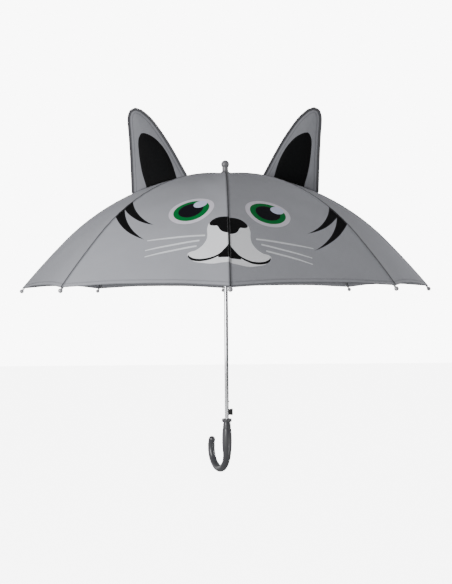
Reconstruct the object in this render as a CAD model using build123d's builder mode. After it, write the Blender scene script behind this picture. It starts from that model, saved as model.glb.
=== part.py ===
from build123d import *
import os
from math import asin, atan2, cos, degrees, hypot, radians, sin, sqrt

# A children's umbrella that opens by itself: eight bent steel ribs carry a cloth dome with two
# upright ears, and a runner slides on the tube shaft between the crown and the hooked handle.
# Millimetres. +Z runs up the shaft, the origin is on its axis at the middle of the grip, -Y is
# the side with the face, and rib 1 points that way. The others follow every 45 degrees.

# The cloth dome, measured on its outer face along a rib
RIB_COUNT = 8
DOME_TOP = 518.0
DOME_RADIUS = 441.4
DOME_SWEEP = 45.4            # degrees from the top to where the rib's free end straightens
FREE_END_RADIUS = 1569.0
HEM_RADIUS = 397.0           # the cloth's corners, from the shaft's axis
HEM_RISE = 5.5               # how far the hem arches up between two ribs
CROWN_HOLE = 5.0
CLOTH = 0.8
PANEL_GAP = 0.3

# Ribs and stretchers: pressed steel channels
RIB_WIDTH, RIB_HEIGHT, RIB_WALL = 2.6, 2.8, 0.45
RIB_DEPTH = 3.0              # a rib's centre line, under the cloth's outer face
STRETCHER_WIDTH, STRETCHER_HEIGHT = 3.2, 3.0
LUG_WIDTH, LUG_RADIUS, LUG_LENGTH = 2.2, 2.4, 8.8
SADDLE_ANGLE = 27.3          # degrees from the top to the stretcher's rivet
SADDLE_DEPTH = 7.0
RIVET_RADIUS = 0.8
RIVET_HOLE = 0.85
BEND_GAP = 1.4               # each side of the saddle, so that the rib's end can straighten
TIP_RADIUS = 4.0
TIP_REACH = 5.0              # a tip's centre, past the cloth's corner
CLOSED_ANGLE = 4.5           # a rib's lean from the shaft when the umbrella is closed

# Crown and runner: both carry a ring of pivots
PIVOT_RADIUS = 9.5
CROWN_PIVOT_Z = 512.5
RING_WIRE = 0.6
SLOT_WIDTH = 2.8
CROWN_RADIUS = 12.5
CROWN_CORE = 6.4
RUNNER_SLEEVE_RADIUS = 6.5
RUNNER_LENGTH = 55.8         # from its pivots down to its lower end
RUNNER_BORE = 4.08
DRIVE_PIN_DROP = 12.0        # under the runner's pivots

# Shaft, finial and opening gear
SHAFT_RADIUS, SHAFT_BORE = 4.0, 3.3
SHAFT_BOTTOM, SHAFT_END = -12.0, 527.0
FIT = 0.02
BALL_RADIUS, BALL_Z = 8.0, 535.8
SEAT_Z, SEAT_HEIGHT = 77.0, 4.0
SPRING_RADIUS, SPRING_WIRE, SPRING_TURNS = 2.5, 0.35, 30
PLUNGER_RADIUS, PLUNGER_HEIGHT = 3.1, 10.0
BUTTON_Z, BUTTON_HEIGHT, BUTTON_WIDTH = 51.8, 13.0, 6.6
BUTTON_FACE, BUTTON_BACK = 12.0, 7.2
NOSE_Z, NOSE_HEIGHT, NOSE_REACH = 71.0, 4.0, 5.6

# Handle: neck, swelling grip and a hook that ends in a separate cap
COLLAR_BOTTOM, COLLAR_TOP, COLLAR_RADIUS = 32.5, 38.9, 9.65
GRIP_RADIUS = 9.6
GRIP_END_Z, GRIP_END_RADIUS = -26.0, 8.45
HOOK_RADIUS, HOOK_TUBE = 38.0, 7.1
HOOK_TURN = 113.7            # the hook's direction about the shaft, in degrees from +X
HOOK_TAPER, CAP_START, CAP_END = 27.0, 189.0, 203.0

# Ears and tie strap
EAR_INNER, EAR_OUTER = 72.5, 183.0
EAR_THICKNESS = 6.0
EAR_LIFT = 0.5
STRAP_WIDTH, STRAP_LENGTH, STRAP_THICKNESS = 18.0, 125.0, 1.0
STRAP_DROP = 70.0            # the strap's lower edge, measured up the rib from the hem

# Worked out from the sizes above
STEP_ANGLE = 360 / RIB_COUNT
HALF_STEP = STEP_ANGLE / 2
DOME_CENTRE = (0.0, DOME_TOP - DOME_RADIUS)
FREE_CENTRE = (
    (DOME_RADIUS - FREE_END_RADIUS) * sin(radians(DOME_SWEEP)),
    DOME_CENTRE[1] + (DOME_RADIUS - FREE_END_RADIUS) * cos(radians(DOME_SWEEP)),
)
HEM_ANGLE = degrees(asin((HEM_RADIUS - FREE_CENTRE[0]) / FREE_END_RADIUS))


def on_rib(angle, depth=0.0):
    """Distance from the axis and height of a point under the cloth, at an angle from the top."""
    free = angle > DOME_SWEEP
    centre = FREE_CENTRE if free else DOME_CENTRE
    radius = (FREE_END_RADIUS if free else DOME_RADIUS) - depth
    return centre[0] + radius * sin(radians(angle)), centre[1] + radius * cos(radians(angle))


def angle_at(distance):
    """Angle from the top of a point of the dome's upper part, at a distance from the axis."""
    return degrees(asin(distance / DOME_RADIUS))


def along_dome(length):
    """The angle that a length covers along the upper part of a rib."""
    return degrees(length / DOME_RADIUS)


CROWN_PIVOT = (PIVOT_RADIUS, CROWN_PIVOT_Z)
SADDLE_PIVOT = on_rib(SADDLE_ANGLE, SADDLE_DEPTH)
STRETCHER_LENGTH = hypot(SADDLE_PIVOT[0] - PIVOT_RADIUS, SADDLE_PIVOT[1] - CROWN_PIVOT_Z)
RUNNER_PIVOT_Z = 2 * SADDLE_PIVOT[1] - CROWN_PIVOT_Z
OPEN_ANGLE = degrees(atan2(SADDLE_PIVOT[0] - PIVOT_RADIUS, CROWN_PIVOT_Z - SADDLE_PIVOT[1]))
FOLD_ANGLE = OPEN_ANGLE - CLOSED_ANGLE
TRAVEL = RUNNER_PIVOT_Z - CROWN_PIVOT_Z + 2 * STRETCHER_LENGTH * cos(radians(CLOSED_ANGLE))
RUNNER_BOTTOM = RUNNER_PIVOT_Z - RUNNER_LENGTH
DRIVE_PIN_Z = RUNNER_PIVOT_Z - DRIVE_PIN_DROP
SPRING_BOTTOM = SEAT_Z + SEAT_HEIGHT
SPRING_TOP = DRIVE_PIN_Z - PLUNGER_HEIGHT / 2

os.makedirs("parts", exist_ok=True)


def save(piece, name):
    piece.part.label = name
    export_step(piece.part, f"parts/{name}.step")


def save_round_shaft(piece, name):
    """Writes one copy of a piece per rib, turned from +X to each rib's direction."""
    for number in range(RIB_COUNT):
        with BuildPart() as copy:
            add(piece.part, rotation=(0, 0, number * STEP_ANGLE - 90))
        save(copy, f"{name}_{number + 1}")


def follow_rib(stops, depth):
    for first, last in zip(stops, stops[1:]):
        middle = (first + last) / 2
        ThreePointArc(on_rib(first, depth), on_rib(middle, depth), on_rib(last, depth))


def strip_along_rib(start, end, shallow, deep):
    """Face between two depths under the cloth, from one angle from the top to another."""
    stops = [start, DOME_SWEEP, end] if start < DOME_SWEEP < end else [start, end]
    with BuildSketch(Plane.XZ) as strip:
        with BuildLine():
            follow_rib(stops, shallow)
            Line(on_rib(end, shallow), on_rib(end, deep))
            follow_rib(stops, deep)
            Line(on_rib(start, deep), on_rib(start, shallow))
        make_face()
    return strip.sketch


def rib_channel(start, end):
    """Pressed channel, open on its lower side."""
    top, bottom = RIB_DEPTH - RIB_HEIGHT / 2, RIB_DEPTH + RIB_HEIGHT / 2
    extrude(strip_along_rib(start, end, top, bottom), RIB_WIDTH / 2, both=True)
    inside = strip_along_rib(start, end, top + RIB_WALL, bottom)
    extrude(inside, RIB_WIDTH / 2 - RIB_WALL, both=True, mode=Mode.SUBTRACT)


def link_plates(plane, pivot, far, pivot_size, far_size, inner, outer):
    """Two mirrored plates between two distances from the middle plane, each from a pierced
    round end to a smaller round end. With nothing between them they are one plate."""
    for side in (1, -1):
        with BuildSketch(plane.offset(side * (inner + outer) / 2)) as plate:
            with Locations(pivot):
                Circle(pivot_size)
            with Locations(far):
                Circle(far_size)
            make_hull()
            with Locations(pivot):
                Circle(RIVET_HOLE, mode=Mode.SUBTRACT)
        extrude(plate.sketch, (outer - inner) / 2, both=True)


def ring(bottom, top, outer, inner, mode=Mode.ADD):
    with BuildSketch(Plane.XY.offset(bottom)) as section:
        Circle(outer)
        Circle(inner, mode=Mode.SUBTRACT)
    extrude(section.sketch, top - bottom, mode=mode)


def pivot_flange(pivot_z, bottom, top, bore):
    """Disc with a slot for each rib or stretcher and a groove for the wire that holds them."""
    ring(bottom, top, CROWN_RADIUS, bore)
    slot_length = 2 * (CROWN_RADIUS - CROWN_CORE)
    with BuildSketch(Plane.XY.offset(bottom)) as slots:
        with PolarLocations(CROWN_RADIUS, RIB_COUNT):
            Rectangle(slot_length, SLOT_WIDTH)
    extrude(slots.sketch, top - bottom, mode=Mode.SUBTRACT)
    groove = RING_WIRE + 0.2
    ring(pivot_z - groove, pivot_z + groove, CROWN_RADIUS, PIVOT_RADIUS - groove, Mode.SUBTRACT)


def window(plane, width, bottom, top, depth):
    """Opening through one wall of a tube, from its middle outwards."""
    with BuildSketch(plane) as opening:
        with Locations((0, (bottom + top) / 2)):
            Rectangle(width, top - bottom)
    extrude(opening.sketch, depth, mode=Mode.SUBTRACT)


RIGHT, BACK = Plane.YZ, Plane.XZ.rotated((0, 0, 180))

# ---- Shaft and what is fixed to it ----

with BuildPart() as shaft_tube:
    ring(SHAFT_BOTTOM, SHAFT_END, SHAFT_RADIUS, SHAFT_BORE)
    window(BACK, 2.0, DRIVE_PIN_Z - TRAVEL - 1.2, DRIVE_PIN_Z + 1.2, SHAFT_RADIUS + 1)
    window(RIGHT, 4.2, BUTTON_Z - 5, BUTTON_Z + 5, SHAFT_RADIUS + 1)
    window(RIGHT, 3.0, NOSE_Z - 0.6, NOSE_Z + NOSE_HEIGHT + 0.6, SHAFT_RADIUS + 1)
save(shaft_tube, "shaft_tube")

with BuildPart() as crown_washer:
    ring(DOME_TOP + 0.15, DOME_TOP + 0.95, 9.4, SHAFT_RADIUS + FIT)
save(crown_washer, "crown_washer")

with BuildPart() as finial:
    skirt_z, neck_z, neck_radius = DOME_TOP + 1.0, DOME_TOP + 5.0, 6.0
    neck_top = BALL_Z - sqrt(BALL_RADIUS**2 - neck_radius**2)
    with BuildSketch(Plane.XZ):
        with BuildLine():
            Polyline((0, SHAFT_END), (SHAFT_RADIUS + FIT, SHAFT_END), (SHAFT_RADIUS + FIT, skirt_z))
            Polyline((SHAFT_RADIUS + FIT, skirt_z), (9.6, skirt_z), (9.4, skirt_z + 0.8))
            ThreePointArc((9.4, skirt_z + 0.8), (7.1, neck_z - 1.7), (neck_radius, neck_z))
            Line((neck_radius, neck_z), (neck_radius, neck_top))
            ThreePointArc((neck_radius, neck_top), (BALL_RADIUS, BALL_Z), (0, BALL_Z + BALL_RADIUS))
            Line((0, BALL_Z + BALL_RADIUS), (0, SHAFT_END))
        make_face()
    revolve(axis=Axis.Z)
save(finial, "finial")

with BuildPart() as crown_notch:
    pivot_flange(CROWN_PIVOT_Z, CROWN_PIVOT_Z - 6.5, CROWN_PIVOT_Z + 3.5, SHAFT_RADIUS + FIT)
save(crown_notch, "crown_notch")

with BuildPart(Plane.XY.offset(CROWN_PIVOT_Z)) as crown_ring:
    Torus(PIVOT_RADIUS, RING_WIRE)
save(crown_ring, "crown_ring_wire")

with BuildPart() as runner_stop:
    stop_bottom = RUNNER_PIVOT_Z + 3.4
    ring(stop_bottom, stop_bottom + 2.6, 5.8, SHAFT_RADIUS + FIT)
    chamfer(runner_stop.edges().filter_by(GeomType.CIRCLE).group_by(SortBy.RADIUS)[-1], 0.6)
save(runner_stop, "runner_stop")

with BuildPart() as spring_seat:
    with BuildSketch(Plane.XY.offset(SEAT_Z)):
        Circle(SHAFT_BORE - FIT)
    extrude(amount=SEAT_HEIGHT)
save(spring_seat, "spring_seat")

with BuildPart() as opening_spring:
    coil_height = SPRING_TOP - SPRING_BOTTOM - 2 * SPRING_WIRE
    coil_start = (0, 0, SPRING_BOTTOM + SPRING_WIRE)
    with BuildLine() as coil:
        Helix(coil_height / SPRING_TURNS, coil_height, SPRING_RADIUS, center=coil_start)
    with BuildSketch(Plane(origin=coil.line @ 0, z_dir=coil.line % 0)):
        Circle(SPRING_WIRE)
    sweep()
save(opening_spring, "opening_spring")

# ---- Handle ----

with BuildPart() as grip_collar:
    ring(COLLAR_BOTTOM, COLLAR_TOP, COLLAR_RADIUS, SHAFT_RADIUS + FIT)
    fillet(grip_collar.edges().filter_by(GeomType.CIRCLE).group_by(SortBy.RADIUS)[-1], 1.4)
save(grip_collar, "grip_collar")

hook_side = Vector(cos(radians(HOOK_TURN)), sin(radians(HOOK_TURN)), 0)
hook_normal = hook_side.cross(Vector(0, 0, 1))
HOOK_PLANE = Plane(origin=(0, 0, GRIP_END_Z), x_dir=hook_side, z_dir=hook_normal)


def on_hook(turn):
    """Point of the hook's centre line in its plane, at a turn from the grip's end."""
    return HOOK_RADIUS * (1 - cos(radians(turn))), -HOOK_RADIUS * sin(radians(turn))


def hook_section(path, place, radius):
    with BuildSketch(Plane(origin=path @ place, x_dir=hook_normal, z_dir=path % place)) as disc:
        Circle(radius)
    return disc.sketch


with BuildPart() as hook_handle:
    with BuildSketch(Plane.XZ):
        with BuildLine():
            Polyline((0, GRIP_END_Z), (0, COLLAR_BOTTOM), (6.7, COLLAR_BOTTOM), (7.6, 28.2))
            Polyline((7.6, 28.2), (8.1, 20.2), (7.8, 19.6), (7.8, 19.0), (8.5, 18.4))
            ThreePointArc((8.5, 18.4), (GRIP_RADIUS, 2), (GRIP_END_RADIUS, GRIP_END_Z))
            Line((GRIP_END_RADIUS, GRIP_END_Z), (0, GRIP_END_Z))
        make_face()
    revolve(axis=Axis.Z)
    with BuildLine(HOOK_PLANE) as tapered_bend:
        ThreePointArc(on_hook(0), on_hook(HOOK_TAPER / 2), on_hook(HOOK_TAPER))
    wide_end = hook_section(tapered_bend.line, 0, GRIP_END_RADIUS)
    narrow_end = hook_section(tapered_bend.line, 1, HOOK_TUBE)
    sweep([wide_end, narrow_end], path=tapered_bend.line, multisection=True)
    with BuildLine(HOOK_PLANE) as even_bend:
        ThreePointArc(on_hook(HOOK_TAPER), on_hook(100), on_hook(CAP_START))
    sweep(hook_section(even_bend.line, 0, HOOK_TUBE), path=even_bend.line)
    with BuildSketch(Plane.XY.offset(SHAFT_BOTTOM)):
        Circle(SHAFT_RADIUS + FIT)
    extrude(amount=COLLAR_BOTTOM - SHAFT_BOTTOM, mode=Mode.SUBTRACT)
save(hook_handle, "hook_handle")

with BuildPart() as hook_cap:
    with BuildLine(HOOK_PLANE) as cap_bend:
        ThreePointArc(on_hook(CAP_START), on_hook((CAP_START + CAP_END) / 2), on_hook(CAP_END))
    sweep(hook_section(cap_bend.line, 0, HOOK_TUBE - 0.3), path=cap_bend.line)
    with Locations(cap_bend.line @ 1):
        Sphere(HOOK_TUBE - 0.3)
save(hook_cap, "hook_end_cap")

# ---- Release button and its latch ----

with BuildPart() as release_button:
    with BuildSketch(Plane.YZ.offset(BUTTON_BACK)):
        with Locations((0, BUTTON_Z)):
            RectangleRounded(BUTTON_WIDTH, BUTTON_HEIGHT, BUTTON_WIDTH / 2 - 0.1)
    extrude(amount=BUTTON_FACE - BUTTON_BACK)
    fillet(release_button.faces().sort_by(Axis.X)[-1].edges(), 1.6)
    with BuildSketch(Plane.YZ.offset(2.4)):
        with Locations((0, BUTTON_Z)):
            Rectangle(3.6, 9)
    extrude(amount=BUTTON_BACK - 2.4)
save(release_button, "release_button")

with BuildPart() as latch_spring:
    nose_top = NOSE_Z + NOSE_HEIGHT
    with BuildSketch(Plane.XZ):
        with BuildLine():
            Polyline((2.0, BUTTON_Z - 4), (2.4, BUTTON_Z - 4), (2.4, NOSE_Z), (NOSE_REACH, NOSE_Z))
            Polyline((NOSE_REACH, NOSE_Z), (NOSE_REACH, NOSE_Z + 1), (3.0, nose_top), (2.0, nose_top))
            Line((2.0, nose_top), (2.0, BUTTON_Z - 4))
        make_face()
    extrude(amount=1.2, both=True)
save(latch_spring, "latch_spring")

# ---- Runner ----

with BuildPart() as runner:
    pivot_flange(RUNNER_PIVOT_Z, RUNNER_PIVOT_Z - 4, RUNNER_PIVOT_Z + 3, RUNNER_BORE)
    ring(RUNNER_BOTTOM, RUNNER_PIVOT_Z - 4, RUNNER_SLEEVE_RADIUS, RUNNER_BORE)
    ring(RUNNER_BOTTOM, RUNNER_BOTTOM + 4, 7.6, RUNNER_BORE)
    latch_bottom = NOSE_Z + TRAVEL - 1
    window(RIGHT, 3.4, latch_bottom, latch_bottom + NOSE_HEIGHT + 2.4, CROWN_RADIUS)
    with Locations(Location((0, RUNNER_SLEEVE_RADIUS / 2, DRIVE_PIN_Z), (90, 0, 0))):
        Cylinder(RIVET_RADIUS + FIT, RUNNER_SLEEVE_RADIUS + 1, mode=Mode.SUBTRACT)
save(runner, "runner")

with BuildPart(Plane.XY.offset(RUNNER_PIVOT_Z)) as runner_ring:
    Torus(PIVOT_RADIUS, RING_WIRE)
save(runner_ring, "runner_ring_wire")

with BuildPart() as spring_plunger:
    with BuildSketch(Plane.XY.offset(SPRING_TOP)):
        Circle(PLUNGER_RADIUS)
    extrude(amount=PLUNGER_HEIGHT)
    with Locations(Location((0, 0, DRIVE_PIN_Z), (90, 0, 0))):
        Cylinder(RIVET_RADIUS + FIT, 3 * PLUNGER_RADIUS, mode=Mode.SUBTRACT)
    with BuildSketch(Plane.XZ.offset(-RUNNER_SLEEVE_RADIUS)):
        with Locations((0, DRIVE_PIN_Z)):
            Circle(RIVET_RADIUS)
    extrude(amount=RUNNER_SLEEVE_RADIUS + PLUNGER_RADIUS - 0.3)
save(spring_plunger, "spring_plunger")

# ---- Ribs, with the saddle that the stretcher is riveted to ----

half_rib = RIB_WIDTH / 2
rib_root = on_rib(angle_at(PIVOT_RADIUS + LUG_LENGTH), RIB_DEPTH)
clip_start, clip_end = SADDLE_ANGLE - along_dome(12), SADDLE_ANGLE - along_dome(5)

with BuildPart() as rib:
    rib_channel(angle_at(PIVOT_RADIUS + LUG_LENGTH), SADDLE_ANGLE - along_dome(BEND_GAP))
    link_plates(Plane.XZ, CROWN_PIVOT, rib_root, LUG_RADIUS, half_rib, 0, LUG_WIDTH / 2)
    for side in (1, -1):
        wrap = strip_along_rib(clip_start, clip_end, RIB_DEPTH - 1.7, RIB_DEPTH + 1.7)
        extrude(wrap.moved(Location((0, -side * (half_rib + 0.3), 0))), 0.3, both=True)
    clip_middle = on_rib((clip_start + clip_end) / 2, RIB_DEPTH)
    link_plates(Plane.XZ, SADDLE_PIVOT, clip_middle, LUG_RADIUS, 1.6, 1.5, 1.9)
    with BuildSketch(Plane.XZ.offset(-2.55)):
        with Locations(SADDLE_PIVOT):
            Circle(RIVET_RADIUS)
    extrude(amount=2 * 2.55)
    for side in (1, -1):
        with BuildSketch(Plane.XZ.offset(side * 2.85)):
            with Locations(SADDLE_PIVOT):
                Circle(1.5)
        extrude(amount=0.3, both=True)
save_round_shaft(rib, "rib")

tip_start = on_rib(HEM_ANGLE, RIB_DEPTH)
tip_way = Vector(cos(radians(HEM_ANGLE)), 0, -sin(radians(HEM_ANGLE)))

with BuildPart() as rib_end:
    rib_channel(SADDLE_ANGLE + along_dome(BEND_GAP), HEM_ANGLE)
    tongue_root = on_rib(SADDLE_ANGLE + along_dome(BEND_GAP + 5), RIB_DEPTH)
    link_plates(Plane.XZ, SADDLE_PIVOT, tongue_root, 2.2, half_rib, 0, 1.2)
save_round_shaft(rib_end, "rib_end")

with BuildPart() as rib_tip:
    with BuildSketch(Plane(origin=(tip_start[0], 0, tip_start[1]), z_dir=tip_way)):
        Circle(1.9)
    extrude(amount=TIP_REACH)
    with Locations(Vector(tip_start[0], 0, tip_start[1]) + tip_way * TIP_REACH):
        Sphere(TIP_RADIUS)
save_round_shaft(rib_tip, "rib_tip")

# ---- Stretchers, drawn along the line from the runner to the saddle ----

stretcher_way = Vector(SADDLE_PIVOT[0] - PIVOT_RADIUS, 0, SADDLE_PIVOT[1] - RUNNER_PIVOT_Z)
STRETCHER_PLANE = Plane(
    origin=(PIVOT_RADIUS, 0, RUNNER_PIVOT_Z), x_dir=stretcher_way, z_dir=(0, -1, 0)
)
fork_start, channel_start = STRETCHER_LENGTH - 16, LUG_LENGTH - 1

with BuildPart() as stretcher:
    channel_length = fork_start - channel_start
    with BuildSketch(STRETCHER_PLANE):
        with Locations((channel_start + channel_length / 2, 0)):
            Rectangle(channel_length, STRETCHER_HEIGHT)
    extrude(amount=STRETCHER_WIDTH / 2, both=True)
    with BuildSketch(STRETCHER_PLANE):
        with Locations((channel_start + channel_length / 2, -RIB_WALL)):
            Rectangle(channel_length, STRETCHER_HEIGHT)
    extrude(amount=STRETCHER_WIDTH / 2 - RIB_WALL, both=True, mode=Mode.SUBTRACT)
    link_plates(STRETCHER_PLANE, (0, 0), (LUG_LENGTH, 0), LUG_RADIUS, 1.5, 0, LUG_WIDTH / 2)
    with BuildSketch(STRETCHER_PLANE):
        with Locations((fork_start + 3, 0)):
            Rectangle(6, STRETCHER_HEIGHT)
    extrude(amount=2.5, both=True)
    fork_root = (fork_start + 5, 0)
    link_plates(STRETCHER_PLANE, (STRETCHER_LENGTH, 0), fork_root, LUG_RADIUS, 1.4, 2.05, 2.5)
save_round_shaft(stretcher, "stretcher")

# ---- Canopy: a panel centred on each rib, half of the gore on each side of it ----

gore_along = Vector(-sin(radians(HALF_STEP)), cos(radians(HALF_STEP)), 0)
gore_out = Vector(cos(radians(HALF_STEP)), sin(radians(HALF_STEP)), 0)
GORE_MIDDLE = Plane(origin=gore_along * (-PANEL_GAP / 2), z_dir=gore_along)
GORE_FACE = Plane(origin=(0, 0, 0), x_dir=gore_along, z_dir=gore_out)
half_hem = HEM_RADIUS * sin(radians(HALF_STEP))
hem_z = on_rib(HEM_ANGLE)[1]

with BuildPart() as canopy_panel:
    seam_band = strip_along_rib(angle_at(CROWN_HOLE), HEM_ANGLE, 0, CLOTH)
    extrude(seam_band, half_hem + 10, dir=gore_along)
    split(bisect_by=GORE_MIDDLE, keep=Keep.BOTTOM)
    with BuildSketch(GORE_FACE):
        with BuildLine():
            ThreePointArc((-half_hem, hem_z), (0, hem_z + HEM_RISE), (half_hem, hem_z))
            Polyline((half_hem, hem_z), (half_hem, hem_z - 9), (-half_hem, hem_z - 9), (-half_hem, hem_z))
        make_face()
    extrude(amount=HEM_RADIUS, mode=Mode.SUBTRACT)
    mirror(about=Plane.XZ)
save_round_shaft(canopy_panel, "canopy_panel")

# ---- Ears, standing on the two side ribs ----

ear_base = [angle_at(EAR_OUTER), angle_at((EAR_INNER + EAR_OUTER) / 2), angle_at(EAR_INNER)]
ear_edge = [(186.4, 552), (190.2, 620), (186.5, 640), (175, 647.6), (159, 639.5), (112.3, 583.4)]

with BuildPart() as ear_right:
    with BuildSketch(Plane.XZ):
        with BuildLine():
            base = ThreePointArc(*[on_rib(angle, -EAR_LIFT) for angle in ear_base])
            Spline(base @ 0, *ear_edge, base @ 1)
        make_face()
    extrude(amount=EAR_THICKNESS / 2, both=True)
save(ear_right, "ear_right")

with BuildPart() as ear_left:
    add(ear_right.part, rotation=(0, 0, 180))
save(ear_left, "ear_left")

# ---- Tie strap, sewn to the back rib's seam and laid round the canopy, with its press stud ----

strap_low = HEM_ANGLE - degrees(STRAP_DROP / FREE_END_RADIUS)
strap_high = strap_low - degrees(STRAP_WIDTH / FREE_END_RADIUS)
strap_face = -0.4

with BuildPart() as strap_shape:
    strap_band = strip_along_rib(strap_high, strap_low, strap_face - STRAP_THICKNESS, strap_face)
    extrude(strap_band, STRAP_LENGTH, dir=gore_along)
with BuildPart() as tie_strap:
    add(strap_shape.part, rotation=(0, 0, 90))
save(tie_strap, "tie_strap")

stud_middle = on_rib((strap_low + strap_high) / 2, strap_face - STRAP_THICKNESS)
stud_place = Vector(stud_middle[0], 0, stud_middle[1]) + gore_along * (STRAP_LENGTH - 12)
rib_way = Vector(cos(radians(strap_low)), 0, -sin(radians(strap_low)))
stud_way = rib_way.cross(gore_along).normalized()

with BuildPart() as stud_shape:
    with BuildSketch(Plane(origin=stud_place + stud_way * 0.2, z_dir=stud_way)):
        Circle(5)
    extrude(amount=1.2)
    fillet(stud_shape.edges().filter_by(GeomType.CIRCLE).sort_by(Axis.Z)[-1], 0.6)
with BuildPart() as tie_stud:
    add(stud_shape.part, rotation=(0, 0, 90))
save(tie_stud, "tie_stud")

print(f"crown pivots at {CROWN_PIVOT}, saddle {SADDLE_PIVOT}, runner pivots at z {RUNNER_PIVOT_Z:.3f}")
print(f"fold {FOLD_ANGLE:.3f} degrees, open angle {OPEN_ANGLE:.3f}, runner travel {TRAVEL:.3f}")
print(f"cloth corner at {on_rib(HEM_ANGLE)}, hem angle {HEM_ANGLE:.3f}, spring bottom {SPRING_BOTTOM}")
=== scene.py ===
from math import asin, atan2, cos, pi, radians, sin

import bmesh
import bpy
import numpy as np
from mathutils import Matrix, Vector


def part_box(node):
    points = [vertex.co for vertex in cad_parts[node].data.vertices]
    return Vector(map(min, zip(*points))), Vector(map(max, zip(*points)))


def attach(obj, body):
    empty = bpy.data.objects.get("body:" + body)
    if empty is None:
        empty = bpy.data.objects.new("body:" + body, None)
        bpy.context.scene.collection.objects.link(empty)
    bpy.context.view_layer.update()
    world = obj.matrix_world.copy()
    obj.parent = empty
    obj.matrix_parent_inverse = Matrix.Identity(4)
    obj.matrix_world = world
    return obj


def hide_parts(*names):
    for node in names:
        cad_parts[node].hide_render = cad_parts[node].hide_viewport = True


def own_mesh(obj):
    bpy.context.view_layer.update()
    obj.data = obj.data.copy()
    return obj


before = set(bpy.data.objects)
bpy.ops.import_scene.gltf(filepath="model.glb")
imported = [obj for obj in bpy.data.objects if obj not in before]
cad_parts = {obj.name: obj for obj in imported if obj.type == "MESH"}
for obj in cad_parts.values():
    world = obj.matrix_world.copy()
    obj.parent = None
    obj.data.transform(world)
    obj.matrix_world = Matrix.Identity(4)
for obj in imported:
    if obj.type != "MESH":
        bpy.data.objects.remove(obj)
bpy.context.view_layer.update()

mm = 0.001

# ---- Camera ----
# It stands just under the height of the hem and a little to the left of the front rib, and is
# rolled by less than half a degree.

camera_distance, camera_height = 1.955, 0.2862
camera_side, camera_roll = radians(-1.0), radians(-0.38)
camera_lens, camera_sensor = 61.64, 36.0
camera = bpy.data.objects.new("camera", bpy.data.cameras.new("camera"))
bpy.context.collection.objects.link(camera)
camera.data.lens, camera.data.sensor_width = camera_lens, camera_sensor
camera.matrix_world = (
    Matrix.Rotation(camera_side, 4, "Z")
    @ Matrix.Translation((0, -camera_distance, camera_height))
    @ Matrix.Rotation(pi / 2, 4, "X")
    @ Matrix.Rotation(camera_roll, 4, "Z")
)
bpy.context.scene.camera = camera

# ---- Studio ----
# The umbrella hangs just clear of white paper that melts into the white behind it. A soft box
# and a window light it from the left, and a second box from the far right. A dark flag shades
# the dome's right half and draws the dark line down the chromed shaft.


class Value:
    """A shader socket that can stand in a sum."""

    def __init__(self, finish, socket):
        self.finish, self.socket = finish, socket

    def maths(self, operation, *terms):
        sockets = dict(enumerate(terms))
        return self.finish.node("ShaderNodeMath", {"operation": operation}, sockets)

    def __add__(self, other):
        return self.maths("ADD", self, other)

    def __sub__(self, other):
        return self.maths("SUBTRACT", self, other)

    def __rsub__(self, other):
        return self.maths("SUBTRACT", other, self)

    def __mul__(self, other):
        return self.maths("MULTIPLY", self, other)

    def __truediv__(self, other):
        return self.maths("DIVIDE", self, other)

    def __pow__(self, other):
        return self.maths("POWER", self, other)

    def __abs__(self):
        return self.maths("ABSOLUTE", self)

    __radd__, __rmul__ = __add__, __mul__

    def sine(self):
        return self.maths("SINE", self)

    def least(self, other):
        return self.maths("MINIMUM", self, other)

    def most(self, other):
        return self.maths("MAXIMUM", self, other)

    def above(self, edge, blur):
        """1 where the value is over the edge, 0 under it, with a soft change between."""
        span = {0: self - edge, 1: -blur, 2: blur, 3: 0.0, 4: 1.0}
        return self.finish.node("ShaderNodeMapRange", {"interpolation_type": "SMOOTHSTEP"}, span)

    def below(self, edge, blur):
        return 1 - self.above(edge, blur)


class Nodes:
    """A node tree whose nodes are made one by one with node()."""

    def __init__(self, tree):
        self.nodes, self.links = tree.nodes, tree.links
        self.nodes.clear()

    def node(self, kind, settings=(), sockets=(), out=0):
        made = self.nodes.new(kind)
        for key, value in dict(settings).items():
            if key == "points":
                bends = made.mapping.curves[0].points
                for x, y in value[1:-1]:
                    bends.new(x, y)
                bends[0].location, bends[-1].location = value[0], value[-1]
                made.mapping.update()
            else:
                setattr(made, key, value)
        for key, value in dict(sockets).items():
            if isinstance(value, Value):
                self.links.new(value.socket, made.inputs[key])
            else:
                made.inputs[key].default_value = value
        return Value(self, made.outputs[out]) if made.outputs else made

    def mix(self, share, first, second):
        colours = {0: share, 6: first, 7: second}
        for key in (6, 7):
            if not isinstance(colours[key], Value):
                colours[key] = (*colours[key], 1)
        return self.node("ShaderNodeMix", {"data_type": "RGBA"}, colours, out=2)

    def shade(self, share, colour):
        """Multiplies a colour by a number."""
        return self.node("ShaderNodeVectorMath", {"operation": "SCALE"}, {0: colour, 3: share})

    def split(self, vector):
        parts = self.nodes.new("ShaderNodeSeparateXYZ")
        self.links.new(vector.socket, parts.inputs[0])
        return [Value(self, parts.outputs[i]) for i in range(3)]

    def object_place(self):
        return self.node("ShaderNodeTexCoord", out=3)

    def flat_place(self, name):
        return self.node("ShaderNodeUVMap", {"uv_map": name})

    def noise(self, place, scale, detail=2.0):
        return self.node("ShaderNodeTexNoise", {}, {"Vector": place, "Scale": scale, "Detail": detail})

    def outline(self, along, points):
        """A smooth line through points, read at a place along it."""
        xs, ys = [x for x, _ in points], [y for _, y in points]
        low, wide, deep, tall = min(xs), max(xs) - min(xs), min(ys), max(ys) - min(ys)
        line = [((x - low) / wide, (y - deep) / tall) for x, y in points]
        curve = self.node("ShaderNodeFloatCurve", {"points": line}, {1: (along - low) / wide})
        return curve * tall + deep


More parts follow.
